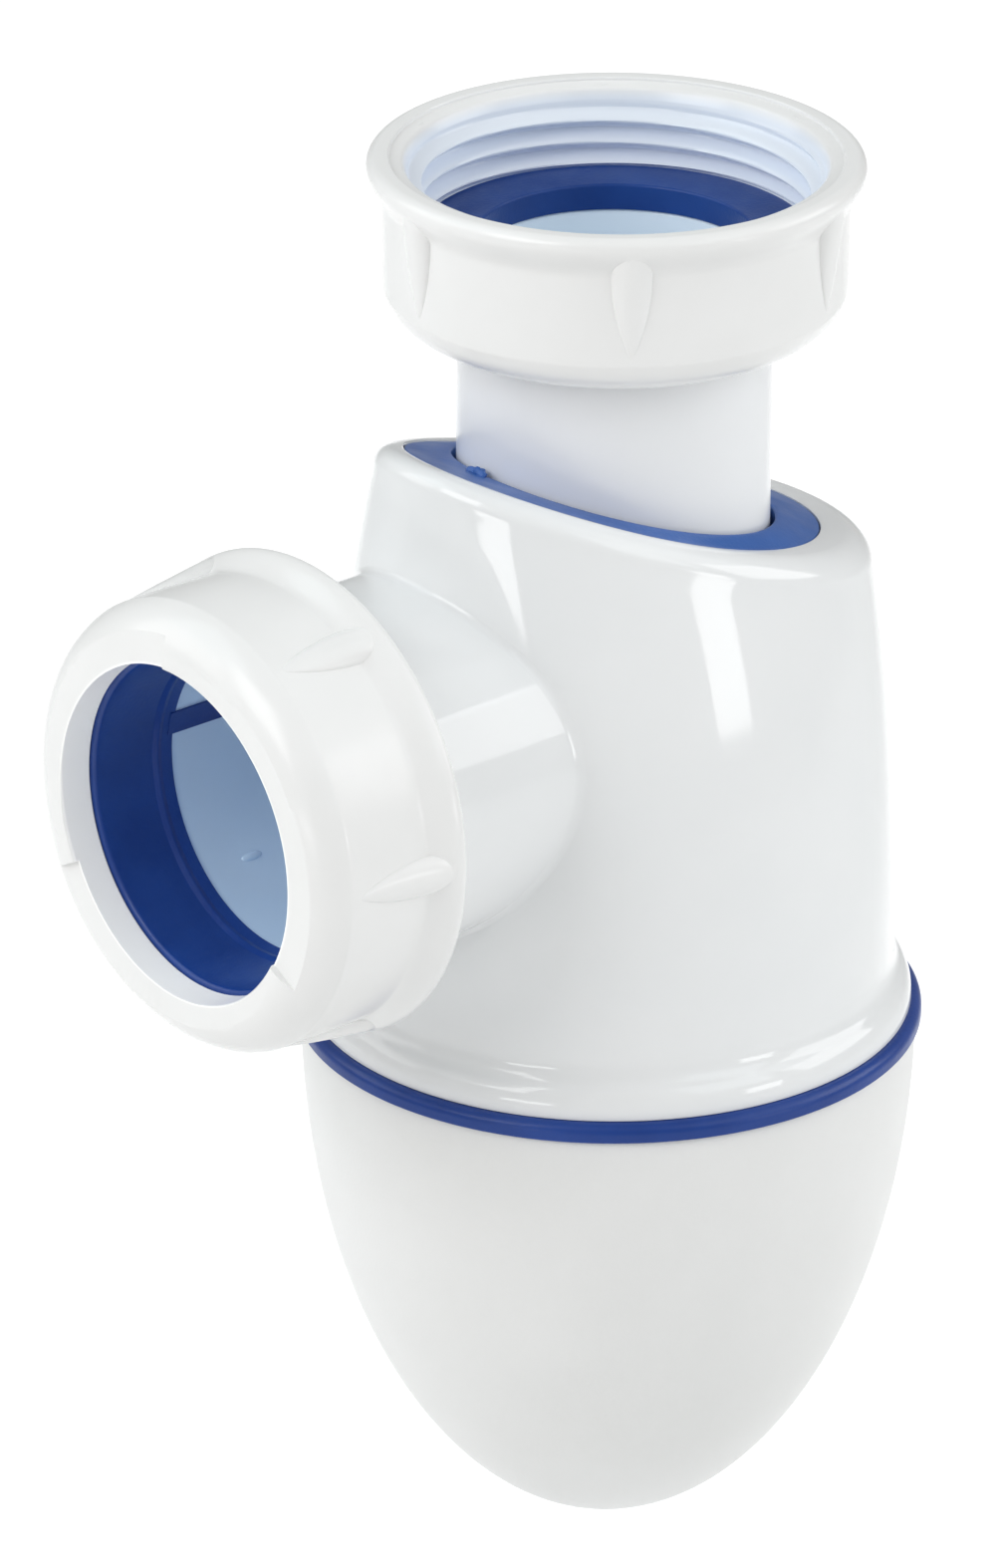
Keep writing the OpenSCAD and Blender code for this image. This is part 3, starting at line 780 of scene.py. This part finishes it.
# the outlet's seal: a flange and a skirt with a soft ridge inside
outletSeal = {"steps": 144, "flangeRadius": 19.3, "flangeStart": 52.2, "flangeEnd": 54.4, "neck": 17.85,
              "seat": 17.0, "tip": 16.6, "mouth": 17.05, "ridge": 16.25, "ridgeX": 46.9, "lip": 15.85,
              "lipX": 45.0, "stripFrom": 163.5, "stripTo": 172.8, "stripEnd": 30.0, "stripGap": 0.2,
              "stripInner": 15.85, "stripOuter": 16.05, "stripSteps": 8}
outlet = outletSeal
skirt = rounded([
    (outlet["flangeRadius"], outlet["flangeStart"], 0.25), (outlet["neck"], outlet["flangeStart"], 0.2),
    (outlet["seat"], skirtSeat + 0.1, 0.2), (outlet["tip"], outlet["lipX"] + 0.5, 0.3),
    (outlet["lip"], outlet["lipX"], 0.3), (outlet["ridge"] - 0.12, outlet["ridgeX"] - 0.5, 0.2),
    (outlet["ridge"] - 0.22, outlet["ridgeX"], 0.35), (outlet["ridge"] + 0.1, outlet["ridgeX"] + 0.55, 0.3),
    (outlet["mouth"] - 0.1, outlet["flangeEnd"] - 1.0, 0.4), (outlet["mouth"], outlet["flangeEnd"], 0.7),
    (outlet["flangeRadius"], outlet["flangeEnd"], 0.25)])
skirtMesh = spun(skirt, outlet["steps"])
turned(skirtMesh, 90, "Y")
# a thin narrow blue strip, kept with the seal's mesh and finish, lies along the wall of the socket
strip = bmesh.new()
stripStart, across = skirtSeat - outlet["stripGap"], math.cos(math.radians(outlet["stripFrom"]))
up = math.sin(math.radians(outlet["stripFrom"]))
corners = [strip.verts.new((x, radius * across, radius * up))
           for x, radius in ((outlet["stripEnd"], outlet["stripInner"]), (stripStart, outlet["stripInner"]),
                             (stripStart, outlet["stripOuter"]), (outlet["stripEnd"], outlet["stripOuter"]))]
stripFace = strip.faces.new(corners)
bmesh.ops.spin(strip, geom=[stripFace, *stripFace.edges, *corners], cent=(0, 0, 0), axis=(1, 0, 0),
               angle=math.radians(outlet["stripTo"] - outlet["stripFrom"]), steps=outlet["stripSteps"])
bmesh.ops.recalc_face_normals(strip, faces=strip.faces)
skirtMesh = merged(skirtMesh, strip)
moved(skirtMesh, 0, outletZ)
finished(skirtMesh, "outletSeal", "outlet_seal", ["outlet_seal"], outletSealBlue)


# joint ring
jointBand = {"steps": 160, "inner": 28.75, "outer": 32.69, "innerEdge": 0.2, "lowEdge": (0.3, 0.25),
             "topEdge": (1.0, 1.1)}
band = jointBand
innerEdge, (lowRound, lowRise), (topRound, topRise) = band["innerEdge"], band["lowEdge"], band["topEdge"]
bandOutline = [(band["inner"] + innerEdge, ringLow.z),
               *arc(band["outer"] - lowRound, ringLow.z + lowRise, lowRound, lowRise, -90, 0, 8),
               *arc(band["outer"] - topRound, ringHigh.z - topRise, topRound, topRise, 0, 90, 10),
               (band["inner"] + innerEdge, ringHigh.z), (band["inner"], ringHigh.z - innerEdge),
               (band["inner"], ringLow.z + innerEdge)]
finished(spun(bandOutline, band["steps"]), "jointBand", "joint_ring", ["joint_ring"], ringBlue)

# cup: half an egg outside, with a threaded socket at the rim
eggCup = {"steps": 160, "radius": 32.1, "depth": 57.4, "wall": 2.4, "socketDepth": 10.5, "crest": 28.52,
          "root": 29.6, "threadRow": 0.24}
cup = eggCup
rimZ = cupHigh.z
innerDepth, innerRadius = cup["depth"] - cup["wall"], cup["radius"] - cup["wall"]
inDeg = math.degrees(math.asin((cup["socketDepth"] + 0.6) / innerDepth))
cupOutline = arc(0, rimZ, cup["radius"], cup["depth"], -90, 0, 60)[:-1]
cupOutline += [(cup["radius"] - 0.02, rimZ - 0.5), (cup["radius"] - 0.12, rimZ - 0.15),
               (cup["radius"] - 0.4, rimZ), (cup["root"] + 0.5, rimZ), (cup["root"] + 0.1, rimZ - 0.35)]
cupOutline += rows(cup["root"], rimZ - 0.6, rimZ - cup["socketDepth"], cup["threadRow"])
cupOutline += arc(0, rimZ, innerRadius, -innerDepth, inDeg, 90, 40)
cupMesh = spun(cupOutline, cup["steps"])
for vert in cupMesh.verts:
    radius, azimuth = math.hypot(vert.co.x, vert.co.y), math.atan2(vert.co.y, vert.co.x)
    inSocket = rimZ - cup["socketDepth"] - 0.01 < vert.co.z < rimZ - 0.5
    if inSocket and abs(radius - cup["root"]) < 0.01:
        bump = smoothStep(*trap["neckFlank"], threadBump(vert.co.z, azimuth, neckCrestZ, trap["neckLead"]))
        fade = smoothStep(rimZ - 0.9, rimZ - 2.2, vert.co.z)
        scale = (radius - (cup["root"] - cup["crest"]) * (1 - bump) * fade) / radius
        vert.co.x, vert.co.y = vert.co.x * scale, vert.co.y * scale
finished(cupMesh, "eggCup", "cup", ["cup"], cupWhite)


# floor, light and camera
studio = {"floorDrop": 0.16, "floorSize": 6, "floorGrey": 0.93, "floorRough": 0.9,
          "worldColour": (1.0, 0.985, 0.965), "worldStrength": 0.35}
floorZ = cadBounds[0].z - studio["floorDrop"]
floorMesh = bmesh.new()
bmesh.ops.create_grid(floorMesh, x_segments=2, y_segments=2, size=studio["floorSize"])
moved(floorMesh, 0, floorZ)
floor = asObject(floorMesh, "studioFloor")
floorPaint = bpy.data.materials.new("floorPaint")
floorPaint.use_nodes = True
paintShader = floorPaint.node_tree.nodes["Principled BSDF"]
paintShader.inputs["Base Color"].default_value = (*(studio["floorGrey"],) * 3, 1)
paintShader.inputs["Roughness"].default_value = studio["floorRough"]
floor.data.materials.append(floorPaint)

world = bpy.data.worlds.new("studioWorld")
bpy.context.scene.world = world
world.use_nodes = True
background = world.node_tree.nodes["Background"]
background.inputs["Color"].default_value = (*studio["worldColour"], 1)
background.inputs["Strength"].default_value = studio["worldStrength"]


def softbox(name, place, target, width, height, radiance, colour=(1, 1, 1)):
    lamp = bpy.data.lights.new(name, "AREA")
    lamp.shape, lamp.size, lamp.size_y, lamp.color = "RECTANGLE", width, height, colour
    lamp.energy = math.pi * width * height * radiance
    holder = bpy.data.objects.new(name, lamp)
    holder.location = place
    holder.rotation_euler = (Vector(target) - Vector(place)).to_track_quat("-Z", "Y").to_euler()
    holder.visible_camera = False
    bpy.context.scene.collection.objects.link(holder)
    return holder


view = {"azimuth": 138.83, "elevation": 24.21, "roll": 0.23, "aim": (0.0030, -0.0142, -0.0647),
        "distance": 0.9, "sensor": 36, "lens": 197.95, "near": 0.05, "far": 20}
viewPlan = math.radians(view["azimuth"] - 90)
softCentre = Vector((0, 0, -0.05))
# name, turn from the view in degrees, elevation, distance, width, height, radiance, colour
softboxes = (
    ("keyLeft", 48, 35, 1.3, 0.70, 0.70, 3.60, (1, 1, 1)),
    ("keyRight", -48, 35, 1.3, 0.70, 0.70, 1.38, (0.90, 0.97, 1.0)),
    ("sideLeft", 95, 22, 1.3, 0.90, 0.60, 1.50, (1, 1, 1)),
    ("sideRight", -95, 22, 1.3, 0.90, 0.60, 2.60, (1, 1, 1)),
    ("highLeft", 95, 50, 1.3, 0.90, 0.80, 1.35, (0.80, 0.95, 1.0)),
    ("highRight", -95, 50, 1.3, 0.90, 0.80, 0.85, (0.92, 0.98, 1.0)),
    ("frontHigh", 0, 55, 1.3, 0.90, 0.90, 0.24, (1, 1, 1)),
    ("leftStrip", 29.5, -3.0, 0.8, 0.26, 0.075, 4.5, (1, 1, 1)),
    ("rightStrip", -57.0, 2.0, 0.8, 0.20, 0.16, 4.2, (1, 1, 1)),
)
for name, turnDeg, riseDeg, distance, width, height, radiance, colour in softboxes:
    plan, rise = viewPlan - math.radians(turnDeg), math.radians(riseDeg)
    outward = Vector((math.cos(plan) * math.cos(rise), math.sin(plan) * math.cos(rise), math.sin(rise)))
    softbox(name, softCentre + outward * distance, softCentre, width, height, radiance, colour)

# a low wash of light on the floor behind the trap
wash = {"behind": 0.75, "above": 0.1, "width": 0.7, "length": 1.2, "radiance": 0.6}
washPlace = Vector((-math.cos(viewPlan) * wash["behind"], -math.sin(viewPlan) * wash["behind"],
                    floorZ + wash["above"]))
washLamp = softbox("floorWash", washPlace, washPlace - Vector((0, 0, 1)), wash["width"], wash["length"],
                   wash["radiance"])
washLamp.rotation_euler = (0, 0, viewPlan + quarterTurn)

camera = bpy.data.cameras.new("camera")
camera.sensor_width, camera.lens = view["sensor"], view["lens"]
camera.clip_start, camera.clip_end = view["near"], view["far"]
cameraObject = bpy.data.objects.new("camera", camera)
azimuth, elevation, roll = (math.radians(view[key]) for key in ("azimuth", "elevation", "roll"))
back = Vector((math.sin(azimuth) * math.cos(elevation), -math.cos(azimuth) * math.cos(elevation),
               math.sin(elevation)))
right = Vector((math.cos(azimuth), math.sin(azimuth), 0))
up = back.cross(right)
rolledRight = right * math.cos(roll) + up * math.sin(roll)
rolledUp = up * math.cos(roll) - right * math.sin(roll)
cameraTurn = Matrix((rolledRight, rolledUp, back)).transposed().to_4x4()
cameraObject.matrix_world = Matrix.Translation(Vector(view["aim"]) + back * view["distance"]) @ cameraTurn
bpy.context.scene.collection.objects.link(cameraObject)
bpy.context.scene.camera = cameraObject
bpy.context.scene.view_settings.view_transform = "Standard"
print("studio set")
